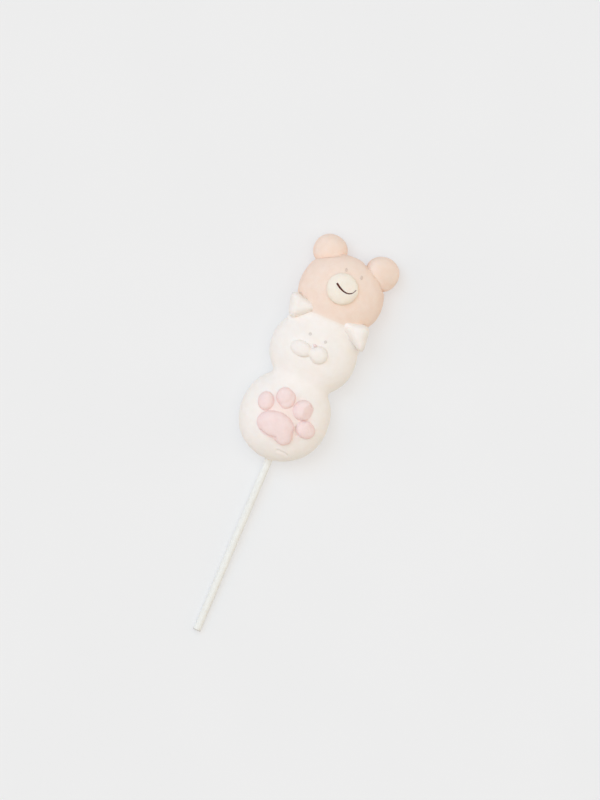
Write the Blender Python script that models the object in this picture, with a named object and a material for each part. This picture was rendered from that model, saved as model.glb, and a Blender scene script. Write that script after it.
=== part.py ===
"""Marshmallow pop: a bear head, a cat head and a cat's paw of soft marshmallow, in a row on a paper stick.

The pop lies on its flat back with the faces up. Units are metres, with +Z up, +Y along the stick towards the
bear, and +X to the right of the faces. Places along the pop are measured from the stick's free end, and the
whole is then moved so that the origin is on the table, under the middle of the pop.
"""
import math
from typing import NamedTuple

import bmesh
import bpy
from mathutils import Matrix, Vector

MM = 0.001

# Fits
GAP = 0.3 * MM

# Paper stick: it slopes from the table up into the paw
STICK_LENGTH = 150 * MM
STICK_RADIUS = 1.75 * MM
STICK_SHOWN = 81.6 * MM
STICK_RISE = 5.0 * MM
STICK_EDGE = 0.15 * MM
STICK_SIDES = 28

# How round the balls are: 2 is an ellipse, and more is boxier
PLAN_ROUNDNESS = 2.1
DOME_ROUNDNESS = 2.2
BELLY_ROUNDNESS = 2.8
BELLY_DEPTH = 1.18
UNEVENNESS = 0.010
SECOND_WAVE = 0.6

# How far two balls run into each other: little at their sides and more over the top
SIDE_BLEND = 2.5 * MM
TOP_BLEND = 9.0 * MM

# Where one ball's marshmallow ends and the next begins
PAW_TO_CAT = 117.8 * MM
CAT_TO_BEAR = 148.9 * MM

# Raised pieces: how boxy their domes are, and how far their lobes run together
PAD_ROUNDNESS = 2.4
LOBE_BLEND = 0.9 * MM

# Cat ears: a triangle with round corners
EAR_SHARPNESS = 2.5
EAR_ROUNDNESS = 2.5

# Mesh fineness
BALL_SEGMENTS = 40
BALL_RINGS = 24
EAR_SEGMENTS = 24
EAR_RINGS = 12
CAT_EAR_SEGMENTS = 30
CAT_EAR_RINGS = 14
CAP_RINGS = 2
CUT_SHARE = 0.62
ROD_EDGE_STEPS = 2

# How finely and how far the outlines are looked for
SEARCH_STEPS = 34
EAR_REACH = 20 * MM
RAISED_REACH = 10 * MM
SLOPE_STEP = 0.05 * MM
MOUTH_STEP = 0.01

# Edges sharper than this many degrees are shown as edges
SHARP_ANGLE = 40


class Ball(NamedTuple):
    """A flattened ball: its middle, its half sizes in plan, its height, and where it is widest."""
    x: float
    y: float
    half_width: float
    half_length: float
    height: float
    widest: float
    phase: float


class Lobe(NamedTuple):
    """A soft bump on the balls: its middle, half sizes and height, and its turn in degrees."""
    x: float
    y: float
    half_width: float
    half_length: float
    height: float
    turn: float = 0.0


class CatEar(NamedTuple):
    """A cat's ear: the three corners of the triangle that its puffed sides stay inside of."""
    inner: tuple[float, float]
    tip: tuple[float, float]
    outer: tuple[float, float]


PAW_BALL = Ball(-1.2 * MM, 102.1 * MM, 19.8 * MM, 20.3 * MM, 23.0 * MM, 8.5 * MM, 0.4)
CAT_BALL = Ball(-0.3 * MM, 132.9 * MM, 19.3 * MM, 18.0 * MM, 22.4 * MM, 8.5 * MM, 2.1)
BEAR_BALL = Ball(0.8 * MM, 161.3 * MM, 19.3 * MM, 16.8 * MM, 23.0 * MM, 8.5 * MM, 4.0)
CHAIN = (PAW_BALL, CAT_BALL, BEAR_BALL)

BEAR_EARS = {
    "bear_ear_left": Ball(-10.9 * MM, 177.0 * MM, 7.5 * MM, 7.3 * MM, 14.2 * MM, 6.6 * MM, 1.0),
    "bear_ear_right": Ball(14.0 * MM, 176.2 * MM, 7.6 * MM, 7.7 * MM, 14.6 * MM, 6.6 * MM, 3.0),
}

CAT_EARS = {
    "cat_ear_left": CatEar((-4.5 * MM, 151.7 * MM), (-20.1 * MM, 155.1 * MM), (-16.5 * MM, 141.6 * MM)),
    "cat_ear_right": CatEar((3.2 * MM, 150.4 * MM), (18.5 * MM, 153.2 * MM), (20.2 * MM, 139.0 * MM)),
}
CAT_EAR_TOP = 21.0 * MM
CAT_EAR_WIDEST = 14.5 * MM
CAT_EAR_BOTTOM = 8.0 * MM

RAISED = {
    "bear_muzzle": (Lobe(0.6 * MM, 163.1 * MM, 6.9 * MM, 6.7 * MM, 3.8 * MM),),
    "cat_muzzle": (
        Lobe(-5.9 * MM, 132.2 * MM, 5.0 * MM, 3.5 * MM, 2.3 * MM, -5),
        Lobe(2.4 * MM, 132.4 * MM, 3.9 * MM, 4.0 * MM, 2.5 * MM),
    ),
    "paw_pad": (
        Lobe(-3.1 * MM, 97.0 * MM, 8.1 * MM, 5.8 * MM, 2.9 * MM, 3),
        Lobe(1.9 * MM, 93.6 * MM, 3.6 * MM, 3.5 * MM, 2.5 * MM),
    ),
    "paw_toe_1": (Lobe(-11.1 * MM, 105.0 * MM, 3.5 * MM, 4.2 * MM, 2.5 * MM, 10),),
    "paw_toe_2": (Lobe(-3.3 * MM, 109.4 * MM, 3.9 * MM, 4.6 * MM, 2.7 * MM, -12),),
    "paw_toe_3": (Lobe(5.3 * MM, 107.4 * MM, 4.3 * MM, 4.6 * MM, 2.7 * MM, -20),),
    "paw_toe_4": (Lobe(9.4 * MM, 100.0 * MM, 4.0 * MM, 3.75 * MM, 2.5 * MM, -10),),
}
RAISED_FINENESS = {
    "bear_muzzle": (28, 12),
    "cat_muzzle": (32, 12),
    "paw_pad": (34, 12),
}
TOE_FINENESS = (20, 10)

# Eyes, nose and mouth
EYES = {
    "bear_head": ((-1.1 * MM, 171.6 * MM), (6.4 * MM, 171.1 * MM)),
    "cat_head": ((-4.8 * MM, 139.6 * MM), (2.8 * MM, 138.9 * MM)),
}
EYE_RADIUS = 0.5 * MM
EYE_HEIGHT = 0.35 * MM
NOSE = (-0.8 * MM, 135.5 * MM)
NOSE_RADIUS = 0.75 * MM
MOUTH = (
    Vector((-2.1, 164.4)) * MM,
    Vector((-0.1, 162.8)) * MM,
    Vector((4.4, 160.1)) * MM,
    Vector((5.8, 164.7)) * MM,
)
MOUTH_START = 0.52 * MM
MOUTH_END = 0.25 * MM
MOUTH_SIDES = 8
MOUTH_RINGS = 20
MOUTH_ENDS = 8

# Colours as seen on a screen, and roughness
FINISHES = {
    "peach_marshmallow": ((242, 220, 204), 0.75),
    "white_marshmallow": ((245, 238, 232), 0.75),
    "cream_marshmallow": ((244, 233, 218), 0.75),
    "pink_marshmallow": ((243, 219, 214), 0.75),
    "white_paper": ((238, 237, 232), 0.85),
}


def smooth_min(first, second, width):
    """The smaller of two values, rounded off where they are within width of each other."""
    share = max(width - abs(first - second), 0) / width
    return min(first, second) - share * share * width / 4


def crossing(outside, limit):
    """The distance, up to limit, at which outside(distance) turns from negative to positive."""
    low, high = 0.0, limit
    for _ in range(SEARCH_STEPS):
        middle = (low + high) / 2
        if outside(middle) < 0:
            low = middle
        else:
            high = middle
    return (low + high) / 2


def ball_distance(ball, x, y, z):
    """About how far a point is outside one ball; negative inside it."""
    across = (x - ball.x) / ball.half_width
    along = (y - ball.y) / ball.half_length
    angle = math.atan2(along, across)
    wave = math.sin(2 * angle + ball.phase) + SECOND_WAVE * math.sin(3 * angle + 2 * ball.phase)
    plan = (abs(across) ** PLAN_ROUNDNESS + abs(along) ** PLAN_ROUNDNESS) ** (1 / PLAN_ROUNDNESS)
    plan /= 1 + UNEVENNESS * wave
    if z > ball.widest:
        depth, roundness = ball.height - ball.widest, DOME_ROUNDNESS
    else:
        depth, roundness = ball.widest * BELLY_DEPTH, BELLY_ROUNDNESS
    size = (plan ** roundness + abs((z - ball.widest) / depth) ** roundness) ** (1 / roundness)
    return (size - 1) * min(ball.half_width, ball.half_length)


def chain_distance(x, y, z):
    """About how far a point is outside the three balls, run together; negative inside them."""
    rise = (z - PAW_BALL.widest) / (PAW_BALL.height - PAW_BALL.widest)
    blend = SIDE_BLEND + (TOP_BLEND - SIDE_BLEND) * min(max(rise, 0), 1)
    lower = smooth_min(ball_distance(PAW_BALL, x, y, z), ball_distance(CAT_BALL, x, y, z), blend)
    return smooth_min(lower, ball_distance(BEAR_BALL, x, y, z), blend)


def chain_top(x, y):
    """The point on top of the balls above (x, y)."""
    start = PAW_BALL.widest
    rise = crossing(lambda step: chain_distance(x, y, start + step), PAW_BALL.height)
    return Vector((x, y, start + rise))


def chain_normal(point):
    """The direction straight out of the balls at a point on them."""
    slopes = []
    for axis in range(3):
        ahead, behind = point.copy(), point.copy()
        ahead[axis] += SLOPE_STEP
        behind[axis] -= SLOPE_STEP
        slopes.append(chain_distance(*ahead) - chain_distance(*behind))
    return Vector(slopes).normalized()


def spine_x(y):
    """The middle of the balls across, at one place along the pop."""
    for first, second in zip(CHAIN, CHAIN[1:]):
        if y < second.y:
            share = min(max((y - first.y) / (second.y - first.y), 0), 1)
            return first.x + (second.x - first.x) * share
    return BEAR_BALL.x


def new_object(name, mesh_data, finish):
    """An object of a finished bmesh, in the scene, with its faces outwards and with its finish."""
    if mesh_data.calc_volume(signed=True) < 0:
        bmesh.ops.reverse_faces(mesh_data, faces=mesh_data.faces)
    mesh = bpy.data.meshes.new(name)
    mesh_data.to_mesh(mesh)
    mesh_data.free()
    mesh.shade_smooth()
    mesh.set_sharp_from_angle(angle=math.radians(SHARP_ANGLE))
    if finish:
        mesh.materials.append(finish)
    part = bpy.data.objects.new(name, mesh)
    bpy.context.scene.collection.objects.link(part)
    return part


def new_finish(name, colour, roughness):
    """A plain material from a screen colour and a roughness."""
    material = bpy.data.materials.new(name)
    material.use_nodes = True
    shader = material.node_tree.nodes["Principled BSDF"]
    linear = [((value / 255 + 0.055) / 1.055) ** 2.4 for value in colour]
    shader.inputs["Base Color"].default_value = (*linear, 1)
    shader.inputs["Roughness"].default_value = roughness
    shader.inputs["Metallic"].default_value = 0
    return material


def as_cutter(part):
    """Mark an object as one that only cuts others."""
    part.hide_render = True
    part.display_type = "WIRE"
    return part


def cut(part, cutter):
    """Take the cutter's shape out of a part."""
    difference = part.modifiers.new(cutter.name, "BOOLEAN")
    difference.operation = "DIFFERENCE"
    difference.object = cutter


def fuse(part, toppings):
    """Join small toppings to the part they lie on, as one body."""
    collection = bpy.data.collections.new(part.name + "_toppings")
    bpy.context.scene.collection.children.link(collection)
    for topping in toppings:
        collection.objects.link(topping)
        bpy.context.scene.collection.objects.unlink(topping)
    union = part.modifiers.new("toppings", "BOOLEAN")
    union.operation = "UNION"
    union.operand_type = "COLLECTION"
    union.collection = collection
    graph = bpy.context.evaluated_depsgraph_get()
    part.data = bpy.data.meshes.new_from_object(part.evaluated_get(graph))
    part.modifiers.remove(union)
    for topping in toppings:
        bpy.data.objects.remove(topping)
    bpy.data.collections.remove(collection)


def free_end(direction, swell):
    """Where the row of balls ends along the pop, behind (-1) or ahead (+1)."""
    ball = BEAR_BALL if direction > 0 else PAW_BALL
    reach = crossing(
        lambda step: chain_distance(ball.x, ball.y + direction * step, ball.widest) - swell,
        2 * ball.half_length,
    )
    return ball.y + direction * reach


def cross_sections(start, end, rings, swell):
    """Where each ring of a length of the row of balls lies along it, and its share of the full outline.

    At a cut the first or last rings lie in the cut's plane and close it. At a round end they draw together.
    """
    first = CAP_RINGS if start else 0
    last = rings - CAP_RINGS if end else rings
    from_angle = math.pi * (1 - CUT_SHARE) if start else 0
    to_angle = math.pi * CUT_SHARE if end else math.pi
    begin = start or free_end(-1, swell)
    finish = end or free_end(1, swell)
    span = math.cos(from_angle) - math.cos(to_angle)
    sections = []
    for ring in range(rings + 1):
        place = min(max((ring - first) / (last - first), 0), 1)
        angle = from_angle + (to_angle - from_angle) * place
        y = begin + (finish - begin) * (math.cos(from_angle) - math.cos(angle)) / span
        share = 1
        if ring < first:
            share = ring / first
        if ring > last:
            share = (rings - ring) / (rings - last)
        sections.append((y, share))
    return sections


def chain_piece(name, finish, start=None, end=None, swell=0.0, rings=BALL_RINGS):
    """A length of the row of balls, from one cut to the next; without a cut it runs to its round end.

    Each ring of a sphere becomes one cross-section, flattened below on the table.
    """
    sections = cross_sections(start, end, rings, swell)
    height = PAW_BALL.widest
    mesh = bmesh.new()
    bmesh.ops.create_uvsphere(mesh, u_segments=BALL_SEGMENTS, v_segments=rings, radius=1)
    for vert in mesh.verts:
        ring = round(math.acos(max(-1, min(1, -vert.co.z))) / math.pi * rings)
        y, share = sections[ring]
        middle = spine_x(y)
        if ring in (0, rings):
            vert.co = (middle, y, height)
            continue
        around = math.atan2(vert.co.y, vert.co.x)
        side, up = math.cos(around), math.sin(around)
        reach = crossing(
            lambda step: chain_distance(middle + side * step, y, height + up * step) - swell,
            2 * BEAR_BALL.half_width,
        )
        if up < 0:
            reach = min(reach, (height + swell) / -up)
        vert.co = (middle + side * reach * share, y, height + up * reach * share)
    return new_object(name, mesh, finish)


def pushed_out(name, middle, distance, segments, rings, finish):
    """A sphere whose points are pushed out from the middle to where distance(x, y, z) is zero.

    What would reach below the table is flattened on it.
    """
    mesh = bmesh.new()
    bmesh.ops.create_uvsphere(mesh, u_segments=segments, v_segments=rings, radius=1)
    for vert in mesh.verts:
        ray = vert.co.normalized()
        reach = crossing(lambda step: distance(*(middle + ray * step)), EAR_REACH)
        if ray.z < 0:
            reach = min(reach, middle.z / -ray.z)
        vert.co = middle + ray * reach
    return new_object(name, mesh, finish)


def bear_ear(name, ear, envelope, finish):
    """A round ear at the edge of the bear's head, cut to fit against it."""
    middle = Vector((ear.x, ear.y, ear.widest))
    part = pushed_out(name, middle, lambda x, y, z: ball_distance(ear, x, y, z),
                      EAR_SEGMENTS, EAR_RINGS, finish)
    cut(part, envelope)
    return part


def cat_ear_middle(ear):
    """The middle and the radius of the circle that touches all three sides of a cat's ear."""
    corners = [Vector(corner) for corner in ear]
    opposite = [(corners[turn - 1] - corners[turn - 2]).length for turn in range(3)]
    middle = Vector((0, 0))
    for corner, length in zip(corners, opposite):
        middle += corner * length / sum(opposite)
    side = corners[1] - corners[0]
    return middle, abs(side.cross(middle - corners[0])) / side.length


def cat_ear_distance(ear, x, y, z):
    """About how far a point is outside one cat ear; negative inside it."""
    middle, radius = cat_ear_middle(ear)
    place = Vector((x, y)) - middle
    plan = 0
    for turn in range(3):
        along = (Vector(ear[turn]) - Vector(ear[turn - 1])).normalized()
        out = Vector((along.y, -along.x))
        if out.dot(Vector(ear[turn]) - middle) < 0:
            out = -out
        plan += max(out.dot(place) / radius, 0) ** EAR_SHARPNESS
    plan **= 1 / EAR_SHARPNESS
    depth = CAT_EAR_TOP - CAT_EAR_WIDEST if z > CAT_EAR_WIDEST else CAT_EAR_WIDEST - CAT_EAR_BOTTOM
    upright = abs((z - CAT_EAR_WIDEST) / depth)
    return ((plan ** EAR_ROUNDNESS + upright ** EAR_ROUNDNESS) ** (1 / EAR_ROUNDNESS) - 1) * radius


def cat_ear(name, ear, envelope, finish):
    """A pointed ear in the notch between the cat and the bear, cut to fit against both."""
    middle = cat_ear_middle(ear)[0].to_3d()
    middle.z = CAT_EAR_WIDEST
    part = pushed_out(name, middle, lambda x, y, z: cat_ear_distance(ear, x, y, z),
                      CAT_EAR_SEGMENTS, CAT_EAR_RINGS, finish)
    cut(part, envelope)
    return part


def lobe_distance(lobes, x, y, height):
    """About how far a point, at a height over the balls, is outside a raised piece."""
    nearest = None
    for lobe in lobes:
        turn = math.radians(lobe.turn)
        right = ((x - lobe.x) * math.cos(turn) + (y - lobe.y) * math.sin(turn)) / lobe.half_width
        ahead = ((y - lobe.y) * math.cos(turn) - (x - lobe.x) * math.sin(turn)) / lobe.half_length
        size = (math.hypot(right, ahead) ** PAD_ROUNDNESS
                + abs(height / lobe.height) ** PAD_ROUNDNESS) ** (1 / PAD_ROUNDNESS)
        away = (size - 1) * lobe.height
        nearest = away if nearest is None else smooth_min(nearest, away, LOBE_BLEND)
    return nearest


def seat(x, y, height):
    """The point at a height over the balls' surface, straight out from the place above (x, y)."""
    foot = chain_top(x, y)
    return foot + chain_normal(foot) * (GAP + height)


def raised_piece(name, finish):
    """A soft raised piece: its dome stands on the balls and its underside follows them."""
    lobes = RAISED[name]
    segments, rings = RAISED_FINENESS.get(name, TOE_FINENESS)
    middle = Vector((sum(lobe.x for lobe in lobes), sum(lobe.y for lobe in lobes))) / len(lobes)
    half = max(max(abs(lobe.x - middle.x) + lobe.half_width for lobe in lobes), lobes[0].half_length)
    tall = max(lobe.height for lobe in lobes)
    mesh = bmesh.new()
    bmesh.ops.create_uvsphere(mesh, u_segments=segments, v_segments=rings, radius=1)
    for vert in mesh.verts:
        ray = Vector((vert.co.x * half, vert.co.y * half, abs(vert.co.z) * tall))
        reach = crossing(
            lambda step: lobe_distance(lobes, middle.x + ray.x * step, middle.y + ray.y * step, ray.z * step),
            2,
        )
        height = ray.z * reach if vert.co.z > 0 else 0
        vert.co = seat(middle.x + ray.x * reach, middle.y + ray.y * reach, height)
    return new_object(name, mesh, finish)


def raised_height(name, x, y):
    """How high a raised piece stands over the balls above (x, y)."""
    return crossing(lambda step: lobe_distance(RAISED[name], x, y, step), RAISED_REACH)


def small_dot(name, centre, normal, radius, height):
    """A small round dot, half sunk in what it lies on."""
    turn = Vector((0, 0, 1)).rotation_difference(normal).to_matrix().to_4x4()
    shape = Matrix.Translation(centre) @ turn @ Matrix.Diagonal((radius, radius, height, 1))
    mesh = bmesh.new()
    bmesh.ops.create_icosphere(mesh, subdivisions=2, radius=1, matrix=shape)
    return new_object(name, mesh, None)


def eyes(name):
    """The two tiny eyes of one head."""
    dots = []
    for number, (x, y) in enumerate(EYES[name]):
        foot = chain_top(x, y)
        dots.append(small_dot(f"{name}_eye_{number}", foot, chain_normal(foot), EYE_RADIUS, EYE_HEIGHT))
    return dots


def nose():
    """The cat's tiny nose, in the crease at the top of its muzzle."""
    foot = chain_top(*NOSE)
    normal = chain_normal(foot)
    return small_dot("nose", foot + normal * (GAP + NOSE_RADIUS), normal, NOSE_RADIUS, NOSE_RADIUS)


def mouth_point(share):
    """The place of the mouth's middle line over the table, from 0 at its thick end to 1."""
    rest = 1 - share
    start, bend_one, bend_two, end = MOUTH
    return (start * rest ** 3 + bend_one * 3 * rest ** 2 * share
            + bend_two * 3 * rest * share ** 2 + end * share ** 3)


def mouth():
    """The smile: a thin tapered roll bent along the muzzle and half sunk in it."""
    def on_muzzle(share):
        place = mouth_point(share)
        return seat(place.x, place.y, raised_height("bear_muzzle", place.x, place.y))

    mesh = bmesh.new()
    bmesh.ops.create_uvsphere(mesh, u_segments=MOUTH_SIDES, v_segments=MOUTH_RINGS, radius=1)
    for vert in mesh.verts:
        share = (vert.co.z + 1) / 2
        centre = on_muzzle(share)
        before, after = max(share - MOUTH_STEP, 0), min(share + MOUTH_STEP, 1)
        ahead = (on_muzzle(after) - on_muzzle(before)).normalized()
        side = ahead.cross(Vector((0, 0, 1))).normalized()
        up = side.cross(ahead)
        girth = (1 - min(abs(vert.co.z), 1) ** MOUTH_ENDS) ** (1 / MOUTH_ENDS)
        radius = (MOUTH_START + (MOUTH_END - MOUTH_START) * share) * girth
        around = math.atan2(vert.co.y, vert.co.x)
        vert.co = centre + (side * math.cos(around) + up * math.sin(around)) * radius
    return new_object("mouth", mesh, None)


def stick_axis():
    """The stick's free end, and its direction up into the balls."""
    slope = (STICK_RISE - STICK_RADIUS) / STICK_SHOWN
    direction = Vector((0, 1, slope)).normalized()
    return Vector((0, 0, STICK_RADIUS)), direction


def rod(name, start, end, radius, edge, finish):
    """A round rod between two points, with its end edges a little rounded."""
    length = (end - start).length
    turn = Vector((0, 0, 1)).rotation_difference(end - start).to_matrix().to_4x4()
    place = Matrix.Translation((start + end) / 2) @ turn
    mesh = bmesh.new()
    bmesh.ops.create_cone(mesh, cap_ends=True, segments=STICK_SIDES, radius1=radius, radius2=radius,
                          depth=length, matrix=place)
    if edge:
        rims = [side for side in mesh.edges if any(len(face.verts) > 4 for face in side.link_faces)]
        bmesh.ops.bevel(mesh, geom=rims, offset=edge, segments=ROD_EDGE_STEPS, profile=0.5,
                        affect="EDGES", material=-1)
    return new_object(name, mesh, finish)


def centre_on_origin(parts, holder):
    """Move the holder so that the origin is under the middle of the parts' box."""
    bpy.context.view_layer.update()
    graph = bpy.context.evaluated_depsgraph_get()
    low, high = Vector((1, 1, 1)), Vector((-1, -1, -1))
    for part in parts:
        for vert in part.evaluated_get(graph).data.vertices:
            point = part.matrix_world @ vert.co
            low = Vector(map(min, low, point))
            high = Vector(map(max, high, point))
    middle = (low + high) / 2
    holder.location = (-middle.x, -middle.y, -low.z)


def main():
    """Model the pop from its named sizes."""
    for old in list(bpy.data.objects):
        bpy.data.objects.remove(old)
    finishes = {name: new_finish(name, *look) for name, look in FINISHES.items()}
    peach, white, pink = (finishes[name + "_marshmallow"] for name in ("peach", "white", "pink"))

    start, direction = stick_axis()
    end = start + direction * STICK_LENGTH
    stick = rod("stick", start, end, STICK_RADIUS, STICK_EDGE, finishes["white_paper"])
    channel = as_cutter(rod("channel", start - direction * GAP, end + direction * GAP,
                            STICK_RADIUS + GAP, 0, None))
    envelope = as_cutter(chain_piece("envelope", None, swell=GAP, rings=2 * BALL_RINGS))

    paw = chain_piece("paw_ball", white, end=PAW_TO_CAT - GAP / 2)
    cat = chain_piece("cat_head", white, start=PAW_TO_CAT + GAP / 2, end=CAT_TO_BEAR - GAP / 2)
    bear = chain_piece("bear_head", peach, start=CAT_TO_BEAR + GAP / 2)
    for head in (cat, bear):
        fuse(head, eyes(head.name))
    for ball in (paw, cat, bear):
        cut(ball, channel)

    parts = [stick, paw, cat, bear]
    parts += [bear_ear(name, ear, envelope, peach) for name, ear in BEAR_EARS.items()]
    parts += [cat_ear(name, ear, envelope, white) for name, ear in CAT_EARS.items()]
    looks = {"bear_muzzle": finishes["cream_marshmallow"], "cat_muzzle": white}
    raised = {name: raised_piece(name, looks.get(name, pink)) for name in RAISED}
    fuse(raised["bear_muzzle"], [mouth()])
    fuse(raised["cat_muzzle"], [nose()])
    parts += raised.values()

    holder = bpy.data.objects.new("marshmallow_pop", None)
    bpy.context.scene.collection.objects.link(holder)
    for part in (*parts, channel, envelope):
        part.parent = holder
    centre_on_origin(parts, holder)


main()
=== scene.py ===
"""Looks of a marshmallow pop: a bear, a cat and a cat's paw of soft marshmallow on a rolled paper stick.

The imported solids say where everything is. Each piece here is a finer mesh of the same form, with the
folds, dents and powdery skin of real marshmallow, and takes the place of its solid. Sizes are in
millimetres, measured from the stick's free end: x across the faces, y along the stick towards the bear and
z up from the table.
"""
import logging
import math
from dataclasses import dataclass, replace
from enum import Enum
from typing import Callable, Sequence

import bmesh
import bpy
import numpy as np
from mathutils import Matrix, Vector, noise


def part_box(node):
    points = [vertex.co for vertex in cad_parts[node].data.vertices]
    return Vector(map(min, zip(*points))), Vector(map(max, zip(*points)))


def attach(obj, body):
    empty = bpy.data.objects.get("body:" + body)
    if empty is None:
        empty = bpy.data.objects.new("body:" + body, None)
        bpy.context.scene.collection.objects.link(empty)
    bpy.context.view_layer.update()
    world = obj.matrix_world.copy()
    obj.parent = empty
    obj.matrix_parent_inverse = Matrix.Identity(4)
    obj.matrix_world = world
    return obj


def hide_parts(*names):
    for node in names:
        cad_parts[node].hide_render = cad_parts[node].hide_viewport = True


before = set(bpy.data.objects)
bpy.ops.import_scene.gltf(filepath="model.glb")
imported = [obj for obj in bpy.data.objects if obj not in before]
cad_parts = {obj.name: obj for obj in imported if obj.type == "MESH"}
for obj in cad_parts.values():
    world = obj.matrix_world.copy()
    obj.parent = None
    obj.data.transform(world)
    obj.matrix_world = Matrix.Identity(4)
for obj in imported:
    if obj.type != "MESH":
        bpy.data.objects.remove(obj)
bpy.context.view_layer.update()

LOG = logging.getLogger("marshmallow_pop")

MM = 0.001
BODY = "root"
PAW_TO_CAT = 117.8  # the cut between the paw's ball and the cat's, along the row
CAT_TO_BEAR = 148.9  # the cut between the cat's ball and the bear's
FOOT = 1.5  # up to this height over the table the skin is smoother
SEARCH_STEPS = 22
NOISE_RANGE = (0.3, 0.7)  # most values of a noise are between these
CURVE_POINTS = 17
SHARP_ANGLE = math.radians(40)
SAME_PLACE = 1e-5  # points this close on a ball of radius 1 are one point
NOT_ZERO = 1e-9  # the least number that anything is divided by

Points = np.ndarray  # one row of x, y and z for each point
Values = np.ndarray  # one number for each point
Colour = tuple[float, float, float]  # red, green and blue as seen on a screen, from 0 to 255


# Shapes of soft things

def smooth_min(first: Values, second: Values, width: Values | float) -> Values:
    """The smaller of two distances, rounded off where they are close.

    Args:
        first: One distance for each point.
        second: The other distance for each point.
        width: How close the two are where the rounding starts.

    Returns:
        The rounded smaller distance.
    """
    share = np.maximum(width - np.abs(first - second), 0) / width
    return np.minimum(first, second) - share * share * width / 4


def crossing(outside: Callable[[Points], Values], start: Points, rays: Points, limit: float) -> Values:
    """Searches along many lines at once for the places where they leave a shape.

    Args:
        outside: Tells how far points are outside the shape; negative inside.
        start: Where each line starts, or the one place where all of them start.
        rays: Each line's direction.
        limit: The greatest length searched, in steps of the rays.

    Returns:
        Each line's length at its crossing, in steps of its ray.
    """
    low, high = np.zeros(len(rays)), np.full(len(rays), float(limit))
    for _ in range(SEARCH_STEPS):
        middle = (low + high) / 2
        inside = outside(start + rays * middle[:, None]) < 0
        low, high = np.where(inside, middle, low), np.where(inside, high, middle)
    return (low + high) / 2


def heights_over(outside: Callable[[Points], Values], plan: Points, level: float, limit: float) -> Values:
    """Finds how high a shape reaches straight above places in plan.

    Args:
        outside: Tells how far points are outside the shape; negative inside.
        plan: One row of x and y for each place.
        level: The height at which the search starts.
        limit: How far above that it ends.

    Returns:
        The heights.
    """
    start = np.column_stack([plan, np.full(len(plan), level)])
    up = np.broadcast_to(np.array([0.0, 0.0, 1.0]), start.shape)
    return level + crossing(outside, start, up, limit)


def stopped(reach: Values, rays: Points, depth: float) -> Values:
    """Shortens the lines that would pass a level below their start.

    Args:
        reach: Each line's length, in steps of its ray.
        rays: Each line's direction.
        depth: How far below the start the level is.

    Returns:
        The lengths, none of them past the level.
    """
    down = np.maximum(-rays[:, 2], NOT_ZERO)
    return np.where(rays[:, 2] < 0, np.minimum(reach, depth / down), reach)


def clear_of_foot(points: Points, foot: float = FOOT) -> Values:
    """Gives the share of a lift that points take: none at height 0, and all of it above the foot."""
    return np.clip(points[:, 2] / foot, 0, 1)


@dataclass(frozen=True)
class Hills:
    """Soft hills and hollows: about how far apart they are, how high, and a shift of their pattern."""
    size: float
    height: float
    shift: float = 0.0

    def lift(self, points: Points, seed: float = 0.0) -> Values:
        """Tells how far the hills lift points.

        Args:
            points: The places, in millimetres.
            seed: Shifts the pattern, so that two pieces differ.

        Returns:
            The lifts; negative in a hollow.
        """
        shifted = points / self.size + (seed + self.shift)
        return np.array([noise.noise(place) for place in shifted.tolist()]) * self.height


@dataclass(frozen=True)
class Ball:
    """A flattened ball: a ball of the row or a round ear. 2 is an ellipse's roundness, and more is boxier.

    Its outline has faint waves: wobble is their size, and phase turns them. Its dome may lean: it is lower
    on the lean side, which is in degrees from the right.
    """
    x: float
    y: float
    half_width: float
    half_length: float
    height: float
    widest: float
    phase: float
    plan_roundness: float = 2.1
    dome_roundness: float = 2.2
    belly_roundness: float = 2.8
    belly_depth: float = 1.18
    wobble: float = 0.010
    second_wave: float = 0.6
    lean: float = 0.0
    lean_side: float = 0.0

    @property
    def middle(self) -> Values:
        """The middle of its widest level."""
        return np.array([self.x, self.y, self.widest])

    def distance(self, points: Points) -> Values:
        """Tells about how far points are outside the ball.

        Args:
            points: The places, in millimetres.

        Returns:
            The distances; negative inside.
        """
        across = (points[:, 0] - self.x) / self.half_width
        along = (points[:, 1] - self.y) / self.half_length
        angle = np.arctan2(along, across)
        wave = np.sin(2 * angle + self.phase) + self.second_wave * np.sin(3 * angle + 2 * self.phase)
        power = self.plan_roundness
        plan = (np.abs(across) ** power + np.abs(along) ** power) ** (1 / power) / (1 + self.wobble * wave)
        over = points[:, 2] > self.widest
        side = math.radians(self.lean_side)
        fall = 1 - self.lean * np.clip(across * math.cos(side) + along * math.sin(side), -1, 1)
        depth = np.where(over, (self.height - self.widest) * fall, self.widest * self.belly_depth)
        roundness = np.where(over, self.dome_roundness, self.belly_roundness)
        upright = np.abs((points[:, 2] - self.widest) / depth)
        size = (plan ** roundness + upright ** roundness) ** (1 / roundness)
        return (size - 1) * min(self.half_width, self.half_length)


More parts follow.
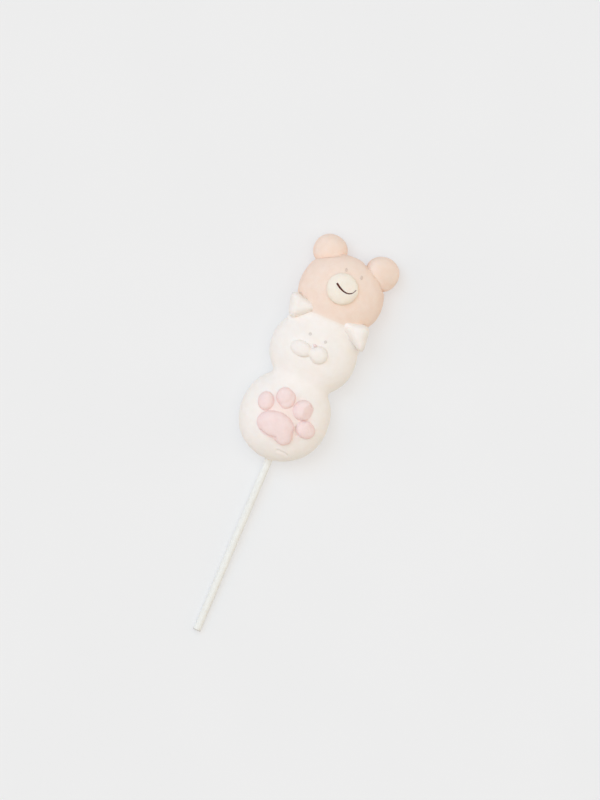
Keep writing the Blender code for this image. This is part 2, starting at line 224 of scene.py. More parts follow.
@dataclass(frozen=True)
class Crease:
    """A soft groove in a surface, or a ridge where its depth is below 0, bent towards its middle point.

    A lip stands along it, at some of its widths from its middle line.
    """
    start: tuple[float, float]
    middle: tuple[float, float]
    end: tuple[float, float]
    width: float
    depth: float
    lip: float = 0.3
    lip_widths: float = 2.2

    def lift(self, points: Points) -> Values:
        """Tells how far the groove and its raised lip move points.

        Args:
            points: The places, in millimetres; their height doesn't count.

        Returns:
            The lifts; negative in the groove.
        """
        share = np.linspace(0, 1, CURVE_POINTS)[:, None]
        start, middle, end = (np.array(place) for place in (self.start, self.middle, self.end))
        line = start * (1 - share) ** 2 + middle * 2 * share * (1 - share) + end * share ** 2
        away = np.full(len(points), np.inf)
        for one, two in zip(line, line[1:]):
            step = two - one
            place = np.clip((points[:, :2] - one) @ step / (step @ step), 0, 1)[:, None]
            away = np.minimum(away, np.linalg.norm(points[:, :2] - one - place * step, axis=1))
        groove = np.exp(-(away / self.width) ** 2)
        lip = np.exp(-((away - self.lip_widths * self.width) / self.width) ** 2)
        return self.depth * (self.lip * lip - groove)


@dataclass(frozen=True)
class BallRow:
    """The three balls run together: little at their sides and more over the top."""
    paw: Ball = Ball(-1.2, 102.1, 19.8, 20.3, 23.0, 8.5, 0.4)
    cat: Ball = Ball(-0.3, 132.9, 19.3, 18.0, 22.4, 8.5, 2.1)
    bear: Ball = Ball(0.8, 161.3, 19.3, 16.8, 23.0, 8.5, 4.0)
    side_blend: float = 2.5
    top_blend: float = 9.0
    slope_step: float = 0.05
    skin: tuple[Hills, ...] = (Hills(10.0, 0.28), Hills(3.6, 0.07, 7.0), Hills(1.3, 0.018, 3.0))

    @property
    def middle_height(self) -> float:
        """The height at which the balls are widest."""
        return self.paw.widest

    def distance(self, points: Points) -> Values:
        """Tells about how far points are outside the row.

        Args:
            points: The places, in millimetres.

        Returns:
            The distances; negative inside.
        """
        rise = (points[:, 2] - self.paw.widest) / (self.paw.height - self.paw.widest)
        blend = self.side_blend + (self.top_blend - self.side_blend) * np.clip(rise, 0, 1)
        lower = smooth_min(self.paw.distance(points), self.cat.distance(points), blend)
        return smooth_min(lower, self.bear.distance(points), blend)

    def normal(self, points: Points) -> Points:
        """Finds the direction straight out of the row.

        Args:
            points: Places on the row's skin.

        Returns:
            One direction of length 1 for each place.
        """
        slopes = []
        for axis in range(3):
            step = np.zeros(3)
            step[axis] = self.slope_step
            slopes.append(self.distance(points + step) - self.distance(points - step))
        out = np.stack(slopes, axis=1)
        return out / np.linalg.norm(out, axis=1)[:, None]

    def softness(self, points: Points) -> Values:
        """Tells how far the marshmallow's own unevenness lifts the skin at points on it."""
        return sum(hills.lift(points) for hills in self.skin) * clear_of_foot(points)

    def top(self, plan: Points) -> Points:
        """Finds the row's skin straight above places in plan.

        Args:
            plan: One row of x and y for each place.

        Returns:
            The points on the skin.
        """
        heights = heights_over(self.distance, plan, self.middle_height, self.paw.height)
        return np.column_stack([plan, heights])

    def spine_x(self, y: Values) -> Values:
        """Gives the row's middle across, at places along it."""
        balls = (self.paw, self.cat, self.bear)
        return np.interp(y, [ball.y for ball in balls], [ball.x for ball in balls])

    def free_end(self, direction: int) -> float:
        """Finds where the row ends.

        Args:
            direction: -1 for the paw's end and 1 for the bear's.

        Returns:
            The place along the row.
        """
        ball = self.bear if direction > 0 else self.paw
        ray = np.array([[0.0, direction, 0.0]])
        reach = crossing(self.distance, ball.middle, ray, 2 * ball.half_length)
        return ball.y + direction * float(reach[0])


# Finishes

def linear(colour: Colour) -> tuple[float, float, float, float]:
    """Turns a screen colour into the one that a shader takes."""
    return (*(((value / 255 + 0.055) / 1.055) ** 2.4 for value in colour), 1.0)


class Bench:
    """The nodes of a material or of the sky, with short ways to add and join them."""

    def __init__(self, owner: bpy.types.Material | bpy.types.World, shader: str = "Principled BSDF",
                 place: str = "Object") -> None:
        """Starts the nodes.

        Args:
            owner: The new material or world.
            shader: Its shader's name.
            place: The coordinates that its patterns follow.
        """
        self.owner = owner
        owner.use_nodes = True
        self.nodes = owner.node_tree.nodes
        self.links = owner.node_tree.links
        self.shader = self.nodes[shader]
        self.place = self.nodes.new("ShaderNodeTexCoord").outputs[place]

    def add(self, kind: str, inputs: dict[str | int, object] | None = None,
            **settings: object) -> bpy.types.Node:
        """Adds a node.

        Args:
            kind: The node's kind, without the words ShaderNode.
            inputs: What goes into its sockets: numbers, colours, or other nodes' outputs.
            **settings: The node's own options.

        Returns:
            The new node.
        """
        node = self.nodes.new("ShaderNode" + kind)
        for name, value in settings.items():
            setattr(node, name, value)
        for socket, value in (inputs or {}).items():
            self.feed(node.inputs[socket], value)
        return node

    def feed(self, socket: bpy.types.NodeSocket, value: object) -> None:
        """Sets a socket to a number or colour, or joins another node's output to it.

        Args:
            socket: The socket that takes the value.
            value: The number, the colour or the output.
        """
        if isinstance(value, bpy.types.NodeSocket):
            self.links.new(value, socket)
        else:
            socket.default_value = value

    def math(self, operation: str, *values: object) -> bpy.types.NodeSocket:
        """Adds a calculation with one or two values.

        Args:
            operation: Its name, such as ADD.
            *values: Numbers or other nodes' outputs.

        Returns:
            The result's output.
        """
        return self.add("Math", dict(enumerate(values)), operation=operation).outputs[0]

    def lengthwise(self) -> bpy.types.NodeSocket:
        """Adds the place along the row, in the frame's metres."""
        return self.add("SeparateXYZ", {0: self.place}).outputs["Y"]

    def grain(self, size: float, detail: float = 2.0, roughness: float = 0.5) -> bpy.types.NodeSocket:
        """Adds soft noise.

        Args:
            size: About how far apart its spots are, in millimetres.
            detail: How many finer layers it has.
            roughness: How strong those are.

        Returns:
            The noise's output, from 0 to 1.
        """
        return self.add("TexNoise", {"Vector": self.place, "Scale": 1 / (size * MM), "Detail": detail,
                                     "Roughness": roughness}).outputs["Fac"]

    def ramp(self, value: object, low: float, high: float, to: tuple[float, float] = (0.0, 1.0)
             ) -> bpy.types.NodeSocket:
        """Adds a smooth step from one value to another.

        Args:
            value: The output that drives the step.
            low: Where the step starts.
            high: Where it ends.
            to: What it gives at its start and its end.

        Returns:
            The step's output.
        """
        sockets = {"Value": value, "From Min": low, "From Max": high, "To Min": to[0], "To Max": to[1]}
        return self.add("MapRange", sockets, interpolation_type="SMOOTHSTEP").outputs["Result"]

    def blend(self, share: object, first: object, second: object) -> bpy.types.NodeSocket:
        """Adds a mix of two colours.

        Args:
            share: How much of the second there is.
            first: The first colour, or an output.
            second: The second colour, or an output.

        Returns:
            The mixed colour's output.
        """
        node = self.add("Mix", data_type="RGBA")
        self.feed(node.inputs["Factor"], share)
        self.feed(next(socket for socket in node.inputs if socket.identifier == "A_Color"), first)
        self.feed(next(socket for socket in node.inputs if socket.identifier == "B_Color"), second)
        return next(socket for socket in node.outputs if socket.identifier == "Result_Color")

    def dress(self, sockets: dict[str, object]) -> None:
        """Sets the shader's own sockets.

        Args:
            sockets: Numbers, colours or other nodes' outputs, under the sockets' names.
        """
        for name, value in sockets.items():
            self.feed(self.shader.inputs[name], value)

    def relief(self, height: object) -> None:
        """Gives the shader fine relief.

        Args:
            height: The relief's height in millimetres.
        """
        bump = self.add("Bump", {"Height": height, "Distance": MM, "Strength": 1.0})
        self.feed(self.shader.inputs["Normal"], bump.outputs["Normal"])


@dataclass(frozen=True)
class Meeting:
    """Where a marshmallow's colour runs softly into its neighbour's, along the row, with a ragged edge."""
    y: float
    width: float
    colour: Colour
    share: float = 0.5
    ragged_size: float = 1.6


@dataclass(frozen=True)
class Stain:
    """A marshmallow's skin tinted a little towards another colour, round one point."""
    centre: tuple[float, float, float]
    full: float
    reach: float
    colour: Colour
    share: float = 0.6


@dataclass(frozen=True)
class Marshmallow:
    """Soft sugar foam under starch dust, thick on top and thin on the flanks; the flanks' colour is also
    painted shade.

    Sizes and depths are in millimetres, and a share says how much of the darker colour of the mottle and
    of the painted shade in the pores shows at most. A range says between which values of its pattern an
    effect grows to its full strength.
    """
    name: str
    colour: Colour
    # The flank colour shows where the skin faces sideways: thinner dust and painted shade.
    flank_dust_and_shade: Colour
    # The darker colour of the random mottle, and of the painted shade in the pores.
    mottle_and_pore_shade: Colour
    dust_and_shade_size: float = 6.0
    dust_and_shade_raggedness: float = 0.25
    dust_and_shade_range: tuple[float, float] = (0.05, 1.0)
    mottle_size: float = 3.2
    mottle_range: tuple[float, float] = (0.30, 0.75)
    mottle_share: float = 0.175
    pore_spacing: float = 0.9
    pit_range: tuple[float, float] = (0.05, 0.30)
    chosen_range: tuple[float, float] = (0.62, 0.80)
    pore_shade_share: float = 0.25
    pore_depth: float = 0.05
    powder_size: float = 0.34
    powder_depth: float = 0.035
    swell_size: float = 2.4
    swell_depth: float = 0.10
    roughness: tuple[float, float] = (0.65, 0.80)
    dry_size: float = 0.9
    gloss: float = 0.3
    sheen: float = 0.12
    sheen_roughness: float = 0.6
    glow: float = 0.22
    glow_colour: tuple[float, float, float] = (1.0, 0.75, 0.6)
    glow_depth: float = 1.1
    glow_fade: tuple[float, float] = (0.5, 4.5)

    def material(self, meeting: Meeting | None = None, joins: Sequence[float] = (),
                 tint: Stain | None = None) -> bpy.types.Material:
        """Makes the finish.

        Args:
            meeting: Where the colour runs into a neighbour's, if it does.
            joins: Places along the row where the piece is joined to another; its glow fades towards them,
                so that no dark line shows there.
            tint: Where the skin is tinted towards another colour round one point, if it is.

        Returns:
            The material.
        """
        bench = Bench(bpy.data.materials.new(self.name))
        # Painted shade with thinner dust: the skin takes the flank colour where it faces sideways.
        facing = bench.add("SeparateXYZ", {0: bench.add("NewGeometry").outputs["Normal"]}).outputs["Z"]
        ragged = bench.math("MULTIPLY", bench.grain(self.dust_and_shade_size), self.dust_and_shade_raggedness)
        dust_and_shade_mask = bench.ramp(bench.math("ADD", facing, ragged), *self.dust_and_shade_range)
        pits = bench.add("TexVoronoi", {"Vector": bench.place, "Scale": 1 / (self.pore_spacing * MM)})
        pit = bench.ramp(pits.outputs["Distance"], *self.pit_range, to=(1.0, 0.0))
        chance = bench.add("SeparateColor", {0: pits.outputs["Color"]}).outputs[0]
        pore = bench.math("MULTIPLY", pit, bench.ramp(chance, *self.chosen_range))
        mottle = bench.grain(self.mottle_size, detail=4.0)
        mottle = bench.ramp(mottle, *self.mottle_range, to=(0.0, self.mottle_share))
        # Top colour where the skin faces up, flank colour with painted shade where it faces sideways.
        colour = bench.blend(dust_and_shade_mask, linear(self.flank_dust_and_shade), linear(self.colour))
        colour = bench.blend(mottle, colour, linear(self.mottle_and_pore_shade))
        # Painted shade in the pores: the pits take the darker colour.
        colour = bench.blend(bench.math("MULTIPLY", pore, self.pore_shade_share), colour, linear(self.mottle_and_pore_shade))
        if meeting:
            ragged = bench.math("SUBTRACT", bench.grain(meeting.ragged_size), 0.5)
            ragged = bench.math("MULTIPLY", ragged, meeting.width * MM)
            away = bench.math("SUBTRACT", bench.lengthwise(), meeting.y * MM)
            away = bench.math("ABSOLUTE", bench.math("ADD", away, ragged))
            near = bench.ramp(away, 0.0, meeting.width * MM, to=(meeting.share, 0.0))
            colour = bench.blend(near, colour, linear(meeting.colour))
        if tint:
            away = bench.add("VectorMath", {0: bench.place, 1: tint.centre}, operation="DISTANCE")
            spread = bench.ramp(away.outputs["Value"], tint.full * MM, tint.reach * MM,
                                to=(tint.share, 0.0))
            colour = bench.blend(spread, colour, linear(tint.colour))
        dry = bench.ramp(bench.grain(self.dry_size, detail=3.0), *NOISE_RANGE, to=self.roughness)
        glow = self.glow
        for join in joins:
            away = bench.math("ABSOLUTE", bench.math("SUBTRACT", bench.lengthwise(), join * MM))
            near, far = self.glow_fade
            glow = bench.math("MULTIPLY", glow, bench.ramp(away, near * MM, far * MM))
        bench.dress({"Base Color": colour, "Roughness": dry, "Specular IOR Level": self.gloss,
                     "Sheen Weight": self.sheen, "Sheen Roughness": self.sheen_roughness,
                     "Subsurface Weight": glow, "Subsurface Radius": self.glow_colour,
                     "Subsurface Scale": self.glow_depth * MM})
        powder = bench.grain(self.powder_size, detail=3.0, roughness=0.6)
        powder = bench.math("MULTIPLY", powder, self.powder_depth)
        swell = bench.math("MULTIPLY", bench.grain(self.swell_size), self.swell_depth)
        dip = bench.math("MULTIPLY", pore, -self.pore_depth)
        bench.relief(bench.math("ADD", bench.math("ADD", powder, swell), dip))
        return bench.owner


@dataclass(frozen=True)
class Icing:
    """Food colour set in a thin skin: the smile, the eyes and the nose."""
    name: str
    colour: Colour
    worn: Colour
    roughness: tuple[float, float] = (0.54, 0.72)
    dull_size: float = 0.5
    gloss: float = 0.15
    worn_size: float = 0.7
    worn_range: tuple[float, float] = (0.35, 0.75)
    worn_share: float = 0.6
    grain_size: float = 0.45
    grain_depth: float = 0.05

    def material(self) -> bpy.types.Material:
        """Makes the finish, with thin places where the worn colour shows.

        Returns:
            The material.
        """
        bench = Bench(bpy.data.materials.new(self.name))
        thin = bench.grain(self.worn_size, detail=3.0)
        thin = bench.ramp(thin, *self.worn_range, to=(0.0, self.worn_share))
        colour = bench.blend(thin, linear(self.colour), linear(self.worn))
        dull = bench.ramp(bench.grain(self.dull_size), *NOISE_RANGE, to=self.roughness)
        bench.dress({"Base Color": colour, "Roughness": dull, "Specular IOR Level": self.gloss})
        bench.relief(bench.math("MULTIPLY", bench.grain(self.grain_size, detail=3.0), self.grain_depth))
        return bench.owner


@dataclass(frozen=True)
class RolledPaper:
    """White paper rolled tightly into a stick, with its fibres lying along it.

    The fibres' scale, the seam's width and the depth of the painted shade on the cut end are on the
    piece's own map, on which the stick's girth and its length are both 1.
    """
    name: str = "rolled_paper"
    colour: Colour = (243, 244, 241)
    fibre: Colour = (234, 234, 230)
    fibre_scale: tuple[float, float, float] = (9.0, 60.0, 1.0)
    fleck_size: float = 0.5
    tone_range: tuple[float, float] = (0.6, 1.4)
    relief: float = 0.012
    seam: Colour = (222, 218, 211)
    seam_width: float = 0.035
    seam_share: float = 0.6
    # cut: painted shade on the free end's cut edge; cut_share is how much of it shows.
    cut: Colour = (140, 130, 122)
    cut_shade_depth: float = 0.004
    cut_share: float = 0.36
    dull_range: tuple[float, float] = (0.2, 0.8)
    roughness: tuple[float, float] = (0.68, 0.86)
    gloss: float = 0.35

    def material(self) -> bpy.types.Material:
        """Makes the finish: long fibres from the piece's own map, a darker seam and painted shade on the
        cut end.

        Returns:
            The material.
        """
        bench = Bench(bpy.data.materials.new(self.name))
        sheet = bench.add("UVMap", uv_map="sheet").outputs["UV"]
        stretched = bench.add("Mapping", {"Vector": sheet, "Scale": self.fibre_scale}).outputs["Vector"]
        fibres = bench.add("TexNoise", {"Vector": stretched, "Scale": 1.0, "Detail": 4.0}).outputs["Fac"]
        pulp = bench.math("ADD", fibres, bench.grain(self.fleck_size, detail=4.0))
        tone = bench.ramp(pulp, *self.tone_range)
        place = bench.add("SeparateXYZ", {0: sheet})
        seam = bench.ramp(place.outputs["X"], 0.0, self.seam_width, to=(self.seam_share, 0.0))
        # Painted shade on the cut end: the paper darkens at the very end of its length.
        cut = bench.ramp(place.outputs["Y"], self.cut_shade_depth / 2, self.cut_shade_depth, to=(self.cut_share, 0.0))
        colour = bench.blend(tone, linear(self.fibre), linear(self.colour))
        colour = bench.blend(seam, colour, linear(self.seam))
        colour = bench.blend(cut, colour, linear(self.cut))
        dull = bench.ramp(fibres, *self.dull_range, to=self.roughness)
        bench.dress({"Base Color": colour, "Roughness": dull, "Specular IOR Level": self.gloss})
        bench.relief(bench.math("MULTIPLY", pulp, self.relief))
        return bench.owner


@dataclass(frozen=True)
class PlainFloor:
    """A smooth pale light table: part of its light comes from within, so that shadows on it stay faint."""
    name: str = "pale_table"
    colour: Colour = (185.5, 181.5, 177)
    shade: Colour = (184.5, 180.5, 176)
    mottle_size: float = 60.0
    roughness: float = 0.9
    glow: tuple[float, float, float] = (0.87, 0.93, 1.0)
    glow_strength: float = 0.428

    def material(self) -> bpy.types.Material:
        """Makes the finish, very slightly mottled.

        Returns:
            The material.
        """
        bench = Bench(bpy.data.materials.new(self.name))
        tone = bench.ramp(bench.grain(self.mottle_size, detail=1.0), *NOISE_RANGE)
        colour = bench.blend(tone, linear(self.shade), linear(self.colour))
        bench.dress({"Base Color": colour, "Roughness": self.roughness, "Specular IOR Level": 0.0,
                     "Emission Color": (*self.glow, 1), "Emission Strength": self.glow_strength})
        return bench.owner


class Sweet(Enum):
    """The marshmallow colours of the pop, each named after its slot in the record."""
    # Each holds its slot's name, its top colour, its flank colour with painted shade, and its mottle and
    # pore shade colour.
    WHITE = Marshmallow("white_marshmallow", (249, 243, 239), (248, 242, 235), (239, 228, 214))
    PEACH = Marshmallow("peach_marshmallow", (247, 227, 214), (245, 217, 199), (236, 201, 176))
    CREAM = Marshmallow("cream_marshmallow", (249, 240, 229), (247, 233, 215), (237, 218, 193))
    PINK = Marshmallow("pink_marshmallow", (249, 229, 227), (246, 214, 211), (234, 195, 192))


class Drop(Enum):
    """The food colours of the faces."""
    BROWN = Icing("brown_icing", (90, 46, 40), (112, 64, 56), roughness=(0.39, 0.57))
    GREY = Icing("grey_icing", (224, 216, 211), (232, 225, 220))
    TAN = Icing("tan_icing", (224, 202, 188), (233, 212, 198))
    ROSE = Icing("rose_icing", (241, 219, 216), (245, 227, 223))


# From millimetres to pieces

@dataclass(frozen=True)
class Workshop:
    """Turns the pop's own millimetres into the frame's metres, and finished meshes into pieces."""
    corner: Vector

    @classmethod
    def from_frame(cls, stick: "PaperStick") -> "Workshop":
        """Finds the stick's free end in the frame.

        Args:
            stick: The paper stick, whose node says where its end is.

        Returns:
            The workshop.
        """
        low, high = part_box("stick")
        tip = low.y + stick.radius * MM * stick.direction.z
        return cls(Vector(((low.x + high.x) / 2, tip, 0.0)))

    def place(self, points: Points) -> Points:
        """Turns millimetres from the stick's end into the frame's metres."""
        return points * MM + np.array(self.corner)

    def along(self, y: float) -> float:
        """Gives a place along the row its place in the frame, still in millimetres."""
        return y + self.corner.y / MM

    def piece(self, name: str, mesh: bmesh.types.BMesh, material: bpy.types.Material,
              sweet: Sweet | None = None, nodes: Sequence[str] = (), slot: str = "") -> bpy.types.Object:
        """Finishes a mesh in millimetres as a piece of the pop.

        Args:
            name: The piece's name.
            mesh: The mesh; it is used up.
            material: Its finish.
            sweet: Not used; the marshmallow that the piece is made of, if it is one.
            nodes: The solids that it stands for.
            slot: Not used; the record's slot name for a piece that isn't marshmallow.

        Returns:
            The piece, riding on the pop's body.
        """
        if mesh.calc_volume(signed=True) < 0:
            bmesh.ops.reverse_faces(mesh, faces=mesh.faces)
        to_frame = Matrix.Translation(self.corner) @ Matrix.Scale(MM, 4)
        bmesh.ops.transform(mesh, matrix=to_frame, verts=mesh.verts)
        data = bpy.data.meshes.new(name)
        mesh.to_mesh(data)
        mesh.free()
        data.shade_smooth()
        data.set_sharp_from_angle(angle=SHARP_ANGLE)
        data.materials.append(material)
        piece = bpy.data.objects.new(name, data)
        bpy.context.scene.collection.objects.link(piece)
        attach(piece, BODY)
        if nodes:
            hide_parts(*nodes)
        LOG.info("%s: %d faces", name, len(data.polygons))
        return piece


def grown(segments: int, rings: int, grow: Callable[[Points], Points]) -> bmesh.types.BMesh:
    """A sphere whose points are moved to a shape.

    Args:
        segments: How many points each ring has.
        rings: How many rings there are.
        grow: Gives the points' places in millimetres from their places on a sphere of radius 1.

    Returns:
        The mesh, in millimetres.
    """
    mesh = bmesh.new()
    bmesh.ops.create_grid(mesh, x_segments=segments, y_segments=rings, size=1)
    rim = []
    for vert in mesh.verts:
        if max(abs(vert.co.x), abs(vert.co.y)) > 1 - SAME_PLACE:
            rim.append(vert)
        around, along = math.pi * vert.co.x, math.pi / 2 * (1 + vert.co.y)
        flat = math.sin(along)
        vert.co = (math.cos(around) * flat, math.sin(around) * flat, -math.cos(along))
    bmesh.ops.remove_doubles(mesh, verts=rim, dist=SAME_PLACE)
    ball = np.array([vert.co[:] for vert in mesh.verts])
    for vert, place in zip(mesh.verts, grow(ball).tolist()):
        vert.co = place
    return mesh


def put_in_order(mesh: bmesh.types.BMesh) -> None:
    """Orders a spun mesh by its parts' places, because a spin's own order changes from run to run.

    Args:
        mesh: The mesh, after its doubles are merged.
    """
    places = ((mesh.verts, lambda vert: vert.co[:]),
              (mesh.edges, lambda edge: (edge.verts[0].co + edge.verts[1].co)[:]),
              (mesh.faces, lambda face: face.calc_center_median()[:]))
    for parts, place in places:
        order = {part: number for number, part in enumerate(sorted(parts, key=place))}
        parts.sort(key=order.get)


# The row of balls

@dataclass(frozen=True)
class RowPiece:
    """One ball of the row, from one cut to the next; without a cut it runs to its round end.

    A cut is closed by a few rings of its own. The mesh's other rings lie as on a sphere, close together at
    a round end, and a cut side stops at cut_share of the way from pole to pole.
    """
    name: str
    node: str
    sweet: Sweet
    start: float | None = None
    end: float | None = None
    creases: tuple[Crease, ...] = ()
    meeting: Meeting | None = None
    tint: Stain | None = None
    segments: int = 336
    rings: int = 192
    cap_rings: int = 3
    cut_share: float = 0.62

    def sections(self, row: BallRow) -> tuple[Values, Values]:
        """Spaces the mesh's rings along the row.

        Args:
            row: The row of balls.

        Returns:
            Each ring's place along the row, and its share of the full outline, below 1 in a cut's plane.
        """
        first = self.cap_rings if self.start else 0
        last = self.rings - self.cap_rings if self.end else self.rings
        from_angle = math.pi * (1 - self.cut_share) if self.start else 0.0
        to_angle = math.pi * self.cut_share if self.end else math.pi
        begin = self.start or row.free_end(-1)
        finish = self.end or row.free_end(1)
        ring = np.arange(self.rings + 1)
        angle = from_angle + (to_angle - from_angle) * np.clip((ring - first) / (last - first), 0, 1)
        span = math.cos(from_angle) - math.cos(to_angle)
        along = begin + (finish - begin) * (math.cos(from_angle) - np.cos(angle)) / span
        share = np.minimum(1.0, ring / max(first, 1)) if first else np.ones(self.rings + 1)
        if last < self.rings:
            share = np.minimum(share, (self.rings - ring) / (self.rings - last))
        return along, share

    def lift(self, points: Points, row: BallRow, stick: "PaperStick") -> Values:
        """Tells how far the ball's own dents, folds and softness move its skin.

        Args:
            points: Places on the skin.
            row: The row of balls.
            stick: The stick, round whose entry the marshmallow stands up as a lip.

        Returns:
            The lifts straight out of the skin.
        """
        lifts = stick.lip(points)
        for crease in self.creases:
            lifts += crease.lift(points)
        return row.softness(points) + lifts * clear_of_foot(points)

    def build(self, row: BallRow, stick: "PaperStick", shop: Workshop) -> bpy.types.Object:
        """Makes the ball.

        Args:
            row: The row of balls.
            stick: The stick that it sits on.
            shop: Turns the mesh into a piece.

        Returns:
            The piece.
        """
        along, share = self.sections(row)

        def grow(ball: Points) -> Points:
            """Moves points of a ball of radius 1 to their places on the skin or the cuts.

            Args:
                ball: The points, ring by ring along the row.

            Returns:
                Their places, in millimetres.
            """
            ring = np.rint(np.arccos(np.clip(-ball[:, 2], -1, 1)) / math.pi * self.rings).astype(int)
            y = along[ring]
            around = np.arctan2(ball[:, 1], ball[:, 0])
            out = np.column_stack([np.cos(around), np.zeros(len(ball)), np.sin(around)])
            spine = np.column_stack([row.spine_x(y), y, np.full(len(ball), row.middle_height)])
            reach = crossing(row.distance, spine, out, 2 * row.bear.half_width)
            reach = stopped(reach, out, row.middle_height)
            skin = spine + out * reach[:, None]
            skin += row.normal(skin) * self.lift(skin, row, stick)[:, None]
            skin[:, 2] = np.maximum(skin[:, 2], 0)
            poles = (ring == 0) | (ring == self.rings)
            shares = np.where(poles & (share[ring] < 1), 0, share[ring])
            return spine + (skin - spine) * shares[:, None]

        mesh = grown(self.segments, self.rings, grow)
        meeting = self.meeting and replace(self.meeting, y=shop.along(self.meeting.y))
        joins = [shop.along(cut) for cut in (self.start, self.end) if cut]
        tint = self.tint and replace(self.tint, centre=tuple(shop.place(np.array(self.tint.centre))))
        material = self.sweet.value.material(meeting, joins, tint)
        return shop.piece(self.name, mesh, material, self.sweet, [self.node])


# Ears

@dataclass(frozen=True)
class PuffedTriangle:
    """A pointed ear: a puffed triangle whose corners are given in plan and its levels over the table."""
    corners: tuple[tuple[float, float], ...]
    top: float = 21.0
    widest: float = 14.5
    bottom: float = 8.0
    sharpness: float = 2.5
    roundness: float = 2.5

    def sides(self) -> tuple[Points, Values, Values, float]:
        """Measures the triangle.

        Returns:
            The sides' directions outwards, their places along them, and the middle and the radius of the
            circle that touches all three.
        """
        places = np.array(self.corners)
        after = np.roll(places, -1, axis=0)
        along = after - places
        lengths = np.linalg.norm(along, axis=1)
        out = np.column_stack([along[:, 1], -along[:, 0]]) / lengths[:, None]
        turned = float(np.sum(along[0] * np.array([-along[1][1], along[1][0]])))
        out *= 1 if turned < 0 else -1
        opposite = np.roll(lengths, -1)
        middle = (places * opposite[:, None]).sum(axis=0) / opposite.sum()
        offsets = np.sum(places * out, axis=1)
        return out, offsets, middle, float(np.mean(offsets - out @ middle))

    @property
    def middle(self) -> Values:
        """The middle of its widest level."""
        return np.array([*self.sides()[2], self.widest])

    def distance(self, points: Points) -> Values:
        """Tells about how far points are outside the ear.

        Args:
            points: The places, in millimetres.

        Returns:
            The distances; negative inside.
        """
        out, offsets, _, radius = self.sides()
        sides = np.maximum((points[:, :2] @ out.T - offsets + radius) / radius, 0)
        plan = np.sum(sides ** self.sharpness, axis=1) ** (1 / self.sharpness)
        depth = np.where(points[:, 2] > self.widest, self.top - self.widest, self.widest - self.bottom)
        upright = np.abs((points[:, 2] - self.widest) / depth)
        return ((plan ** self.roundness + upright ** self.roundness) ** (1 / self.roundness) - 1) * radius


@dataclass(frozen=True)
class Ear:
    """An ear against the row of balls: its hidden side runs on a little under their skin."""
    name: str
    node: str
    sweet: Sweet
    shape: Ball | PuffedTriangle
    seed: float
    segments: int = 144
    rings: int = 96
    overlap: float = 1.5
    rounding: float = 0.2
    farthest: float = 20.0
    skin: tuple[Hills, ...] = (Hills(5.0, 0.16), Hills(1.8, 0.035, 5.0))

    def build(self, row: BallRow, shop: Workshop) -> bpy.types.Object:
        """Makes the ear.

        Args:
            row: The row of balls.
            shop: Turns the mesh into a piece.

        Returns:
            The piece.
        """
        middle = self.shape.middle

        def outside(points: Points) -> Values:
            """Tells about how far points are outside the ear and its hidden overlap."""
            under = row.distance(points) + self.overlap
            return -smooth_min(-self.shape.distance(points), under, self.rounding)

        def grow(ball: Points) -> Points:
            """Pushes points of a ball of radius 1 out to the ear's skin, and no lower than the table.

            Args:
                ball: The points.

            Returns:
                Their places, in millimetres.
            """
            reach = crossing(outside, middle, ball, self.farthest)
            places = middle + ball * reach[:, None]
            reach += sum(hills.lift(places, self.seed) for hills in self.skin) * clear_of_foot(places)
            return middle + ball * stopped(reach, ball, self.shape.widest)[:, None]

        mesh = grown(self.segments, self.rings, grow)
        return shop.piece(self.name, mesh, self.sweet.value.material(), self.sweet, [self.node])


# Muzzles, pad and toes

@dataclass(frozen=True)
class Lobe:
    """A soft bump that stands on the balls; turn is in degrees."""
    x: float
    y: float
    half_width: float
    half_length: float
    height: float
    turn: float = 0.0


@dataclass(frozen=True)
class Facet:
    """A flat that falls away to one side of a ridge on a raised piece; its angles are in degrees."""
    x: float
    y: float
    height: float
    side: float
    slope: float
    edge: float = 0.25

    def distance(self, places: Points) -> Values:
        """Tells how far places are above the flat.

        Args:
            places: One row of x, y and the height over the balls for each place.

        Returns:
            The distances; negative below it.
        """
        side, slope = math.radians(self.side), math.radians(self.slope)
        beyond = (places[:, 0] - self.x) * math.cos(side) + (places[:, 1] - self.y) * math.sin(side)
        return (places[:, 2] - self.height) * math.cos(slope) + beyond * math.sin(slope)


